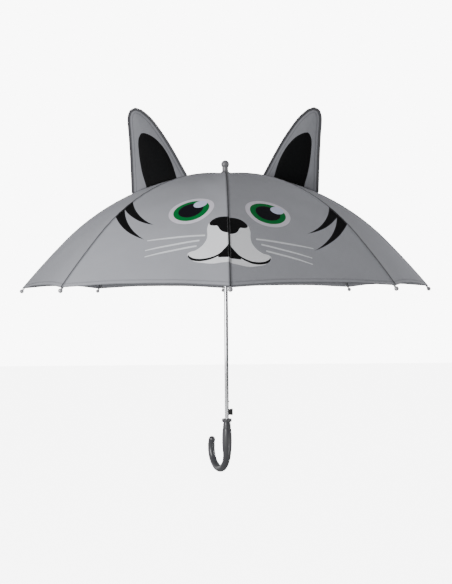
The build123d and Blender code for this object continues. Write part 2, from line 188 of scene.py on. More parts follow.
backdrop_white, room_light, window_light, low_card_light = 9.0, 0.28, 1.0, 3.5
sky = bpy.data.worlds.new("studio_white")
sky.use_nodes = True
sky_nodes = Nodes(sky.node_tree)
right, back, up = sky_nodes.split(sky_nodes.node("ShaderNodeTexCoord"))
window = right.below(-0.02, 0.13) * abs(up).below(0.22, 0.06)
# A narrow white card, low at the right front, that shows in the handle's gloss
low_card = abs(right - 0.72).below(0.10, 0.03) * abs(up + 0.27).below(0.15, 0.03) * back.below(0, 0.05)
room = window * (window_light - room_light) + low_card * low_card_light + room_light
seen = sky_nodes.node("ShaderNodeLightPath")
strength = seen * backdrop_white + (1 - seen) * room
white = sky_nodes.node("ShaderNodeBackground", {}, {"Color": (1, 1, 1, 1), "Strength": strength})
sky_nodes.node("ShaderNodeOutputWorld", {}, {"Surface": white})
bpy.context.scene.world = sky


def soft_box(name, stand, aim, width, height, power):
    lamp = bpy.data.lights.new(name, "AREA")
    lamp.shape, lamp.size, lamp.size_y, lamp.energy = "RECTANGLE", width, height, power
    box = bpy.data.objects.new(name, lamp)
    bpy.context.collection.objects.link(box)
    turn = (Vector(stand) - Vector(aim)).to_track_quat("Z", "Y").to_matrix().to_4x4()
    box.matrix_world = Matrix.Translation(stand) @ turn


soft_box("key_light", (-0.80, -1.10, 0.50), (-0.14, -0.25, 0.36), 0.4, 0.9, 15)
soft_box("side_fill", (1.7, 0.1, 0.6), (0.25, 0, 0.4), 0.6, 0.6, 13)


def stage_mesh(name, corners, faces, colour, opacity=1.0):
    mesh = bpy.data.meshes.new(name)
    mesh.from_pydata(corners, [], faces)
    stage = bpy.data.objects.new(name, mesh)
    bpy.context.collection.objects.link(stage)
    paint = bpy.data.materials.new(name)
    paint.use_nodes = True
    shader = paint.node_tree.nodes["Principled BSDF"]
    shader.inputs["Base Color"].default_value = (*colour, 1)
    shader.inputs["Roughness"].default_value = 1.0
    shader.inputs["Alpha"].default_value = opacity
    mesh.materials.append(paint)
    return stage


floor_z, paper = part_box("hook_handle")[0].z - 2 * mm, 3.0
paper_corners = [(x * paper, y * paper, floor_z) for x, y in ((-1, -1), (1, -1), (1, 1), (-1, 1))]
stage_mesh("paper_floor", paper_corners, [(0, 1, 2, 3)], (0.95, 0.95, 0.95), opacity=0.22)

flag_turns = [radians(a) for a in range(-76, -27, 12)]
flag_reach, flag_low, flag_high = 1.3, -0.05, 1.2
flag_corners = [(flag_reach * cos(a), flag_reach * sin(a), z)
                for a in flag_turns for z in (flag_low, flag_high)]
flag_faces = [(2 * i, 2 * i + 2, 2 * i + 3, 2 * i + 1) for i in range(len(flag_turns) - 1)]
flag = stage_mesh("dark_flag", flag_corners, flag_faces, (0.02, 0.02, 0.02))
flag.visible_camera = False


# ---- Canopy cloth ----
# Eight gores of woven polyester pongee, cut to a curve, felled together over the ribs and
# hemmed. Each gore is pulled tight between two ribs, so it runs straight across and dips a
# little in its middle. The cat's face is printed on the two front gores.

dome_top, dome_radius, dome_sweep = 518.0 * mm, 441.4 * mm, radians(45.4)
free_radius, hem_reach, hem_rise = 1569.0 * mm, 397.0 * mm, 5.5 * mm
saddle_turn, crown_hole = radians(27.3), 5.0 * mm
cloth, gore_dip = 0.3 * mm, 4.0 * mm
pucker_height, pucker_reach, pucker_pitch = 0.3 * mm, 9 * mm, 21 * mm
ripple_height, ripple_along, ripple_across, ripple_slant = 0.5 * mm, 0.11, 0.15, 1.3
# The hem is folded in once: how far in and how far down each turn of it lies
hem_folds = ((0.45 * mm, 0.35 * mm), (0.85 * mm, 0), (0.8 * mm, -4 * mm), (0.6 * mm, -8 * mm))
half_step = pi / 8
free_centre = (
    (dome_radius - free_radius) * sin(dome_sweep),
    dome_top - dome_radius + (dome_radius - free_radius) * cos(dome_sweep),
)
hem_turn = asin((hem_reach - free_centre[0]) / free_radius)
fold_joint, folded_crown, folded_share = "canopy_fold", 0.22, 0.16


def rib_line(turn):
    """Distance from the shaft and height of the cloth over a rib, at a turn from the top."""
    free = turn > dome_sweep
    radius = np.where(free, free_radius, dome_radius)
    reach = np.where(free, free_centre[0], 0) + radius * np.sin(turn)
    return reach, np.where(free, free_centre[1], dome_top - dome_radius) + radius * np.cos(turn)


line_turns = np.linspace(0, hem_turn, 1200)
line_reach, line_height = rib_line(line_turns)
gore_line = np.stack([line_reach * cos(half_step), line_height])
gore_steps = np.hypot(*np.diff(gore_line))
gore_lengths = np.concatenate([[0], np.cumsum(gore_steps)])
gore_length = gore_lengths[-1]


def hem_turn_at(across):
    """Turn at which the hem lies, across a gore from 0 at a rib to 1 at its middle."""
    height = rib_line(hem_turn)[1] + hem_rise * (1 - (1 - across) ** 2)
    return np.interp(-height, -line_height, line_turns)


def gore_points(azimuth, side, turn, across, inward=0.0, down=0.0):
    """Points of the half gore beside a rib, with their places on the flat cloth: from the rib's
    seam, from the gore's middle, and from the top."""
    turn, across = np.broadcast_arrays(turn, across)
    reach, height = rib_line(turn)
    half = reach * sin(half_step)
    length = np.interp(turn, line_turns, gore_lengths)
    slope = np.arctan2(-np.gradient(gore_line[1]), np.gradient(gore_line[0]))
    slope = np.interp(turn, line_turns, slope)
    dip = gore_dip * np.sin(pi * length / gore_length) * (1 - (1 - across) ** 2)
    seam = half * across
    pucker = pucker_height * np.exp(-seam / pucker_reach) * np.sin(2 * pi * length / pucker_pitch)
    pucker *= across > 0
    waves = length / ripple_along + ripple_slant * seam / ripple_across
    ripple = ripple_height * np.sin(2 * pi * waves) * across * (1 - across) * 4
    sunk = dip + inward + pucker * np.sin(pi * length / gore_length) + ripple
    out = reach * cos(half_step) - sunk * np.sin(slope) + down * np.cos(slope)
    z = height - sunk * np.cos(slope) - down * np.sin(slope)
    middle = azimuth + side * half_step
    outward = np.array([cos(middle), sin(middle), 0.0])
    to_rib = side * np.array([sin(middle), -cos(middle), 0.0])
    points = out[..., None] * outward + (half - seam)[..., None] * to_rib
    points[..., 2] = z
    return points, side * seam, -side * (half - seam), length + down


def smooth(mesh, sharp=radians(40)):
    """Shades a mesh smooth, but for the edges that turn by more than an angle."""
    mesh.polygons.foreach_set("use_smooth", [True] * len(mesh.polygons))
    if sharp:
        mesh.set_sharp_from_angle(angle=sharp)


def face_up(mesh):
    """Turns a closed mesh's faces outwards and shades it smooth, with sharp rims."""
    volume = 0.0
    mesh.calc_loop_triangles()
    for t in mesh.loop_triangles:
        a, b, c = (mesh.vertices[v].co for v in t.vertices)
        volume += a.dot(b.cross(c))
    if volume < 0:
        mesh.flip_normals()
    smooth(mesh)


def add_map(mesh, name, u, v):
    """Gives a mesh a UV map, from two values at each of its vertices."""
    corner_vertices = np.zeros(len(mesh.loops), int)
    mesh.loops.foreach_get("vertex_index", corner_vertices)
    flat = np.stack([u.ravel(), v.ravel()], 1)
    mesh.uv_layers.new(name=name).data.foreach_set("uv", flat[corner_vertices].ravel())


def shell_mesh(name, points, maps, thickness):
    """Closed thin sheet over a grid of points, with its maps of flat sizes."""
    rows, columns = points.shape[:2]
    along, over = np.gradient(points, axis=0), np.gradient(points, axis=1)
    normal = np.cross(over, along)
    normal /= np.linalg.norm(normal, axis=2, keepdims=True)
    if (normal[rows // 2, columns // 2] @ points[rows // 2, columns // 2]) < 0:
        normal = -normal
    under = points - thickness * normal
    vertices = np.concatenate([points.reshape(-1, 3), under.reshape(-1, 3)])
    count = rows * columns
    faces = []
    for i in range(rows - 1):
        for j in range(columns - 1):
            a, b = i * columns + j, (i + 1) * columns + j
            faces.append((a, b, b + 1, a + 1))
            faces.append((a + count, a + 1 + count, b + 1 + count, b + count))
    last = count - columns
    rim = [*range(columns - 1), *range(columns - 1, count - 1, columns),
           *range(count - 1, last, -1), *range(last, 0, -columns)]
    for a, b in zip(rim, rim[1:] + rim[:1]):
        faces.append((a, b, b + count, a + count))
    mesh = bpy.data.meshes.new(name)
    mesh.from_pydata(vertices.tolist(), [], faces)
    # Ink is only on the outer side: the inner one takes the second finish
    for inner in range(1, 2 * (rows - 1) * (columns - 1), 2):
        mesh.polygons[inner].material_index = 1
    for map_name, (u, v) in maps.items():
        both_faces = (2, rows, columns)
        add_map(mesh, map_name, np.broadcast_to(u, both_faces), np.broadcast_to(v, both_faces))
    face_up(mesh)
    return mesh


def place(name, mesh, body, *finishes):
    piece = bpy.data.objects.new(name, mesh)
    bpy.context.collection.objects.link(piece)
    for finish in finishes:
        mesh.materials.append(finish)
    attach(piece, body)
    return piece


class Finish(Nodes):
    """A material and its shader."""

    def __init__(self, name):
        self.material = bpy.data.materials.new(name)
        self.material.use_nodes = True
        super().__init__(self.material.node_tree)

    def surface(self, height=None, depth=0.0, **sockets):
        """The shader itself: names of its sockets, with _ for a space."""
        named = {key.replace("_", " "): value for key, value in sockets.items()}
        colour = named["Base Color"]
        if not isinstance(colour, Value):
            named["Base Color"] = (*colour, 1)
        if height is not None:
            named["Normal"] = self.node("ShaderNodeBump", {}, {"Height": height, "Distance": depth})
        shader = self.node("ShaderNodeBsdfPrincipled", {}, named)
        self.node("ShaderNodeOutputMaterial", {}, {"Surface": shader})
        return self.material


print_black, print_white = (0.003, 0.003, 0.0035), (0.92, 0.93, 0.96)
eye_rim, eye_green = (0.70, 0.67, 0.75), (0.0, 0.15, 0.03)
eye_pupil, eye_shine = (0.004, 0.0035, 0.007), (0.62, 0.65, 0.86)
cloth_grey, whisker_grey = (0.374, 0.381, 0.414), (0.78, 0.80, 0.83)

# Each eye: its middle on the flat gore, then its pupil's and its shine's, in millimetres
eyes = {
    -1: ((32.8, 266), (31.5, 265), (43.8, 247.8)),
    1: ((-29.8, 275.6), (-29.2, 275), (-8.2, 265.7)),
}
# Each stripe: the middle and radius of its inner edge, then of its outer edge
stripes = {
    -1: (((39.3, 177.4), 141.7), ((-1.1, 184.2), 121.5), ((54.9, 204.9), 160.8), ((19.3, 200.7), 148.8)),
    1: (((-30.4, 202.8), 138.4), ((-5.8, 188.2), 144.4), ((-49.3, 226.8), 160.5), ((-39, 190.3), 189.9)),
}
# Each whisker: from near the nose to the cheek, as distances from the front seam and from the top
whiskers = {
    -1: (((43, 335.2), (149, 343.6)), ((53, 347.2), (152, 366.8)), ((58, 360), (152, 381.6))),
    1: (((49, 345), (155, 364.5)), ((58, 357.6), (150.5, 386.8)), ((66, 371.8), (150, 401))),
}
nose_top = [(0, 292.6), (10, 291), (20, 292.3), (27, 296), (32, 300.5), (35.4, 308.4)]
nose_foot = [(0, 332.5), (10, 329.3), (16, 323.6), (19, 317), (22, 313.4), (27, 312.8), (32, 311.6),
             (35.4, 308.4)]
muzzle_side = [(305, 36), (312, 37.9), (320, 39.4), (334, 39), (344, 40.2), (353, 43.8), (362, 50), (370, 60),
               (378.5, 74.5), (384, 72), (390, 67), (396, 62), (404, 56)]
mouth_line = [(0, 358), (9.6, 371), (18, 380.5), (29, 387), (43, 391), (56, 391.4), (66, 388.6), (74, 378.5)]
chin_line = [(0, 397), (14, 398.3), (30, 400.2), (48, 397.8), (60, 395.2), (76, 384)]


def face_print(finish, ground, seam, middle, length):
    """The cat's face in screen-printed ink, over the cloth's own colour."""
    blur, whisker_sag = 0.5, 8
    spread = abs(seam)
    right = seam.above(0, 0.05)
    # The right gore was sewn in a little low, so its half of the print sits under the other
    low = length - right * (3 + (spread / 40).least(1) * 5)

    muzzle = spread.below(finish.outline(low, muzzle_side), blur) * low.above(306, blur)
    muzzle *= low.below(finish.outline(spread, chin_line), blur)
    ground = finish.mix(muzzle, ground, print_white)
    nose = low.above(finish.outline(spread, nose_top), blur) * spread.below(35.2, blur)
    nose *= low.below(finish.outline(spread, nose_foot), blur)
    parting = spread.below(1.4, 0.4) * low.above(330, 1) * low.below(362, 1)
    lips = finish.outline(spread, mouth_line)
    mouth = abs(low - lips).below(1.8 + spread * 0.016, 0.5) * spread.below(73.5, 0.6) * spread.above(1, 1)
    open_mouth = low.above(lips, blur) * low.below(387, blur) * spread.below(20, blur)
    black = nose.most(parting).most(mouth).most(open_mouth)

    # The stripes are parts of rings, which end short of the crown
    cheeks = length.above(120, blur)
    for side, sewn in ((-1, 1 - right), (1, right)):
        inner_up, outer_up, inner_low, outer_low = stripes[side]
        for inner, outer in ((inner_up, outer_up), (inner_low, outer_low)):
            bands = []
            for (u, v), radius in (inner, outer):
                bands.append(((middle - u) ** 2 + (length - v) ** 2) ** 0.5 - radius)
            black = black.most(bands[0].above(0, blur) * bands[1].below(0, blur) * sewn * cheeks)
        pale = None
        for (start, start_low), (end, end_low) in whiskers[side]:
            share = (spread - start) / (end - start)
            line = share * (end_low - start_low) + start_low - share * (1 - share) * whisker_sag
            width = 1.9 - (share - 0.6).most(0) * 2.0
            hair = abs(length - line).below(width, 0.45) * share.above(0, 0.008) * share.below(1, 0.008)
            pale = hair if pale is None else pale.most(hair)
        ground = finish.mix(pale * sewn, ground, whisker_grey)
        eye, pupil, shine = eyes[side]
        for (u, v), wide, tall, ink in (
            (eye, 41, 38.4, eye_rim), (eye, 32.6, 30, eye_green),
            (pupil, 22.6, 20.9, eye_pupil), (shine, 12.2, 11.4, eye_shine),
        ):
            ring = (((middle - u) / wide) ** 2 + ((length - v) / tall) ** 2) ** 0.5
            ground = finish.mix(ring.below(1, 0.5 / tall) * sewn, ground, ink)
    return finish.mix(black, ground, print_black)


# Two threads of the weave to a millimetre
weave_turn = 2 * pi / 0.5


def pongee(name, printed):
    """Plain-woven polyester with a soft sheen, painted shade along its seams and its hem, and a
    faint dye variation."""
    finish = Finish(name)
    seam, length, _ = finish.split(finish.flat_place("from_seam"))
    seam, length = seam * 1000, length * 1000
    hem = finish.split(finish.flat_place("from_hem"))[1] * 1000
    place = finish.object_place()
    dye = finish.noise(place, 7, 3) * 0.10 + finish.noise(place, 60, 2) * 0.05 + 0.925
    threads = (seam * weave_turn).sine() * (length * weave_turn).sine()
    colour = finish.shade(dye + threads * 0.03, cloth_grey)
    if printed:
        middle = finish.split(finish.flat_place("from_middle"))[0] * 1000
        front = finish.split(finish.flat_place("from_front"))[0] * 1000
        colour = face_print(finish, colour, front, middle, length)
    # The felled seam: painted shade in the fold in its middle and a painted soft shadow along both its edges
    seam_fold_shade = abs(seam).below(1.4, 0.7) * 0.78
    edge = abs(abs(seam) - 2.9).below(0.4, 0.4) * 0.35
    # Along the hem: a painted shadow at its edge and painted shade along the line of its turned fold
    hem_edge_shadow = hem.below(1.1, 0.5) * 0.5
    hem_fold_shade = abs(hem - 8.2).below(0.3, 0.4) * 0.18
    colour = finish.shade((1 - seam_fold_shade) * (1 - edge) * (1 - hem_edge_shadow) * (1 - hem_fold_shade), colour)
    creases = finish.noise(place, 16, 3)
    return finish.surface(
        Base_Color=colour, Roughness=0.62 + creases * 0.12, Sheen_Weight=0.03, Sheen_Roughness=0.45,
        Specular_IOR_Level=0.06, height=threads * 0.06 + creases * 0.9 + hem.below(8.2, 0.4) * 0.5,
        depth=0.6 * mm,
    )


plain_cloth, printed_cloth = pongee("plain_pongee", False), pongee("printed_pongee", True)

azimuths = {k: radians(45 * (k - 1) - 90) for k in range(1, 9)}
front_halves = {(8, 1), (1, -1), (1, 1), (2, -1)}
gore_columns, crown_rows, skirt_rows = 17, 27, 38
across = np.linspace(0, 1, gore_columns)[None, :] ** 1.3
fold_bow = 6 * mm
saddle_reach, saddle_height = (float(value) for value in rib_line(saddle_turn))
# Slope of the chord from the fold to the hem
fall = atan2(saddle_height - float(rib_line(hem_turn)[1]), hem_reach - saddle_reach)
sheets, folds = {}, {}


def flat_maps(azimuth, side, seam, middle, length, to_hem):
    """Places on the flat cloth: from the rib's seam, the gore's middle, the front seam from
    which the cat's face is set out, and the hem."""
    front = middle + np.sign(cos(azimuth + side * half_step)) * (np.abs(seam) + np.abs(middle))
    return {"from_seam": (seam, length), "from_middle": (middle, length),
            "from_front": (front, length), "from_hem": (seam, to_hem)}


for k, azimuth in azimuths.items():
    rib_way = np.array([cos(azimuth), sin(azimuth), 0.0])
    beside = np.array([-sin(azimuth), cos(azimuth), 0.0])
    for side in (-1, 1):
        finish = printed_cloth if (k, side) in front_halves else plain_cloth
        side_name = "left" if side < 0 else "right"
        for part, body, rows in (("crown", f"rib_{k}", crown_rows), ("skirt", f"rib_end_{k}", skirt_rows)):
            steps = np.linspace(0, 1, rows)[:, None]
            if part == "crown":
                start = asin(crown_hole / dome_radius)
                turn = start + steps * (saddle_turn - start) + 0 * across
                points, seam, middle, length = gore_points(azimuth, side, turn, across)
                axis, anchor = beside, (0, 0, 0.5)
                to_hem = gore_length - length
            else:
                turn = saddle_turn + steps * (hem_turn_at(across) - saddle_turn)
                points, seam, middle, length = gore_points(azimuth, side, turn, across)
                hem = [gore_points(azimuth, side, hem_turn_at(across), across, inward, down)
                       for inward, down in hem_folds]
                points, seam, middle, length = (
                    np.concatenate([grid, *turned])
                    for grid, *turned in zip((points, seam, middle, length), *hem)
                )
                to_hem = length[rows - 1] - length
                # Folding: the half gore flattens towards its rib, sideways and outwards
                sideways, inwards = sin(half_step) * cos(half_step), sin(half_step) ** 2 * sin(fall)
                rib_out = rib_way * sin(fall) + np.array([0, 0, cos(fall)])
                axis = side * sideways * beside - inwards * rib_out
                anchor = rib_way * saddle_reach + np.array([0, 0, saddle_height]) + fold_bow * rib_out
            maps = flat_maps(azimuth, side, seam, middle, length, to_hem)
            mesh = shell_mesh(f"canopy_{part}_{k}_{side_name}", points, maps, cloth)
            piece = place(mesh.name, mesh, body, finish, plain_cloth)
            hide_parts(f"canopy_panel_{k}")
            flat_width = float(np.abs(seam).max())
            flat_length = float(length.max() - length.min())
            strips = np.abs(seam).max(axis=1)
            strip_lengths = np.abs(np.diff(length.mean(axis=1)))
            flat_area = float(np.sum((strips[1:] + strips[:-1]) / 2 * strip_lengths))
            sheets[mesh.name] = (piece, (flat_width, flat_length), flat_area, body, [])
            folds[mesh.name] = {"axis": tuple(axis), "anchor": tuple(anchor),
                                "keep": folded_crown if part == "crown" else folded_share}
            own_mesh(piece)

# ---- Felled seams and their stitching ----
# Over each rib the two gores' edges are folded into one another and sewn down with a row of
# polyester thread at each side. The hem has one such row, 6.5 mm above its edge.

band_half, band_rise, band_top, short_of_hem = 2.7 * mm, 0.45 * mm, 11 * mm, 0.0006
# From the rib outwards over the band: shares of its half width, and of its rise
band_across, band_lift = np.array([0.0, 0.5, 0.93, 1.0]), np.array([1, 1, 1, 0.05])
stitch_pitch, stitch_length, thread_radius = 3.2 * mm, 2.2 * mm, 0.22 * mm
stitch_rise, hem_stitch_rise, hem_row = 0.1 * mm, 0.12 * mm, 6.5 * mm


def thread_finish(name, tint):
    finish = Finish(name)
    twist = finish.node("ShaderNodeTexWave", {"wave_type": "BANDS"},
                        {"Vector": finish.object_place(), "Scale": 700.0})
    return finish.surface(Base_Color=finish.shade(0.8 + twist * 0.3, tint), Roughness=0.6,
                          height=twist, depth=0.05 * mm)


grey_thread = thread_finish("grey_thread", (0.16, 0.16, 0.17))


def stitch_tree():
    """Rows of stitches: one thread loop at each pitch along the curves it is given."""
    tree = bpy.data.node_groups.new("stitch_rows", "GeometryNodeTree")
    tree.interface.new_socket("Rows", in_out="INPUT", socket_type="NodeSocketGeometry")
    for size in ("Pitch", "Length", "Radius"):
        tree.interface.new_socket(size, in_out="INPUT", socket_type="NodeSocketFloat")
    tree.interface.new_socket("Thread", in_out="INPUT", socket_type="NodeSocketMaterial")
    tree.interface.new_socket("Stitches", in_out="OUTPUT", socket_type="NodeSocketGeometry")
    rows, result = tree.nodes.new("NodeGroupInput"), tree.nodes.new("NodeGroupOutput")

    def node(kind, sockets=(), **settings):
        made = tree.nodes.new(kind)
        for key, value in settings.items():
            setattr(made, key, value)
        for key, value in dict(sockets).items():
            if isinstance(value, bpy.types.NodeSocket):
                tree.links.new(value, made.inputs[key])
            else:
                made.inputs[key].default_value = value
        return made

    points = node("GeometryNodeResampleCurve", {
        "Curve": rows.outputs["Rows"], "Length": rows.outputs["Pitch"]}, mode="LENGTH")
    tangent = node("GeometryNodeInputTangent")
    turn = node("FunctionNodeAlignEulerToVector", {"Vector": tangent.outputs[0]}, axis="Z")
    loop = node("GeometryNodeMeshCylinder", {
        "Vertices": 6, "Radius": rows.outputs["Radius"], "Depth": rows.outputs["Length"]})
    placed = node("GeometryNodeInstanceOnPoints", {
        "Points": points.outputs[0], "Instance": loop.outputs["Mesh"], "Rotation": turn.outputs[0]})
    solid = node("GeometryNodeRealizeInstances", {"Geometry": placed.outputs[0]})
    threaded = node("GeometryNodeSetMaterial", {
        "Geometry": solid.outputs[0], "Material": rows.outputs["Thread"]})
    tree.links.new(threaded.outputs[0], result.inputs[0])
    return tree


stitch_rows = stitch_tree()


def sew(name, rows, body, thread=grey_thread):
    """Stitches along lists of points, as one plain mesh on one body."""
    line = bpy.data.curves.new(name + "_rows", "CURVE")
    line.dimensions = "3D"
    for row in rows:
        spline = line.splines.new("POLY")
        spline.points.add(len(row) - 1)
        spline.points.foreach_set("co", np.concatenate([row, np.ones((len(row), 1))], 1).ravel())
    guide = bpy.data.objects.new(name + "_rows", line)
    bpy.context.collection.objects.link(guide)
    sewn = guide.modifiers.new("stitches", "NODES")
    sewn.node_group = stitch_rows
    sizes = {"Pitch": stitch_pitch, "Length": stitch_length, "Radius": thread_radius, "Thread": thread}
    for socket in stitch_rows.interface.items_tree:
        if socket.name in sizes:
            sewn[socket.identifier] = sizes[socket.name]
    evaluated = guide.evaluated_get(bpy.context.evaluated_depsgraph_get())
    mesh = bpy.data.meshes.new_from_object(evaluated)
    mesh.name = name
    bpy.data.objects.remove(guide)
    smooth(mesh)
    piece = bpy.data.objects.new(name, mesh)
    bpy.context.collection.objects.link(piece)
    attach(piece, body)
    return piece


for k, azimuth in azimuths.items():
    for part, body, first, last in (("crown", f"rib_{k}", asin(band_top / dome_radius), saddle_turn),
                                    ("skirt", f"rib_end_{k}", saddle_turn, hem_turn - short_of_hem)):
        turns = np.linspace(first, last, 60)[:, None]
        gore_half = rib_line(turns)[0] * sin(half_step)
        thread_rows = []
        for side in (-1, 1):
            share = band_across[::side] * band_half / gore_half
            points, seam, middle, length = gore_points(
                azimuth, side, turns, share, inward=-band_rise * band_lift[::side])
            row = gore_points(azimuth, side, turns, 0.7 * band_half / gore_half,
                              inward=-band_rise - stitch_rise)[0][:, 0]
            thread_rows.append(row)
            finish = printed_cloth if (k, side) in front_halves else plain_cloth
            side_name = "left" if side < 0 else "right"
            maps = flat_maps(azimuth, side, seam, middle, length, gore_length - length)
            mesh = shell_mesh(f"seam_{part}_{k}_{side_name}", points, maps, band_rise)
            band = place(mesh.name, mesh, body, finish, plain_cloth)
            sheets[f"canopy_{part}_{k}_{side_name}"][4].append(band)
        sew(f"seam_stitches_{part}_{k}", thread_rows, body)
    for side, side_name in ((-1, "left"), (1, "right")):
        shares = np.linspace(0.02, 1, 40)[None, :]
        row = gore_points(azimuth, side, hem_turn_at(shares), shares,
                          inward=-hem_stitch_rise, down=-hem_row)[0][0]
        skirt = f"canopy_skirt_{k}_{side_name}"
        stitches = sew(f"hem_stitches_{k}_{side_name}", [row], f"rib_end_{k}")
        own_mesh(stitches)
        sheets[skirt][4].append(stitches)

# ---- Ears ----
# Two flat, pointed ears of the same cloth over thin foam, sewn edge to edge with a flat flange
# and a corded edge, standing on the seams of the side ribs. Their fronts have a black print.

# Each ear's outline, from the foot to the tip, as distances from the shaft and heights
ear_inner_edge = [(72.5, 512), (98.5, 560), (117.3, 591), (140, 622.5), (157, 638.6), (168, 645.8),
                  (175, 647.6)]
ear_outer_edge = [(183, 480.5), (185.4, 544), (188.0, 591), (190.2, 620), (189.0, 633), (184, 643.5),
                  (175, 647.6)]
# The print's outline, as heights and distances from the shaft
ear_print_inner = [(480, 85), (507, 94), (540, 104.6), (562, 115.6), (578, 127.6), (590.5, 142),
                   (597.4, 158.6)]
ear_print_outer = [(480, 151), (491, 153.8), (528.6, 163.8), (562, 168.4), (580, 169.2), (591, 166.6),
                   (597.4, 158.6)]
ear_flange, ear_puff, flange_half, edge_radius = 5.0 * mm, 4.2 * mm, 0.7 * mm, 1.3 * mm
dart_length, dart_swell, cloth_gap = 14 * mm, 0.25 * mm, 0.3 * mm


def smooth_line(points, count):
    """Evenly spaced points on a smooth line through the given ones."""
    points = np.array(points, float)
    padded = np.concatenate([[2 * points[0] - points[1]], points, [2 * points[-1] - points[-2]]])
    line = []
    for p0, p1, p2, p3 in zip(padded, padded[1:], padded[2:], padded[3:]):
        for t in np.linspace(0, 1, 24, endpoint=False):
            line.append(0.5 * (2 * p1 + (p2 - p0) * t + (2 * p0 - 5 * p1 + 4 * p2 - p3) * t**2
                               + (3 * p1 - p0 - 3 * p2 + p3) * t**3))
    line = np.array([*line, points[-1]])
    lengths = np.concatenate([[0], np.cumsum(np.hypot(*np.diff(line.T)))])
    even = np.linspace(0, lengths[-1], count)
    return np.stack([np.interp(even, lengths, line[:, i]) for i in (0, 1)], 1)


def ear_finish():
    finish = Finish("ear_cloth_printed")
    place = finish.object_place()
    x, y, z = finish.split(place)
    side, height = abs(x) * 1000, z * 1000
    dye = finish.noise(place, 9, 3) * 0.16 + finish.noise(place, 70, 2) * 0.06 + 0.89
    colour = finish.shade(dye * 0.68, cloth_grey)
    inside = side.above(finish.outline(height, ear_print_inner), 0.5) * height.below(597, 0.5)
    inside *= side.below(finish.outline(height, ear_print_outer), 0.5)
    colour = finish.mix(inside * y.below(0, 0.0005), colour, print_black)
    threads = (side * weave_turn).sine() * (height * weave_turn).sine()
    # The band round the edge, where the flange is sewn, is darker, with a darker line along a second seam
    # inside it
    rim = finish.split(finish.flat_place("from_edge"))[0] * 1000
    flange = rim.below(4.6, 0.8) * 0.68
    inner_seam = abs(rim - 9).below(0.5, 0.5) * 0.4
    colour = finish.shade((1 - flange) * (1 - inner_seam), colour)
    creases = finish.noise(place, 30, 3)
    return finish.surface(
        Base_Color=colour, Roughness=0.5 + creases * 0.12, Sheen_Weight=0.03, Sheen_Roughness=0.45,
        Specular_IOR_Level=0.08, depth=0.7 * mm,
        height=threads * 0.06 + creases - inner_seam * 0.8 - flange * 0.5,
    )


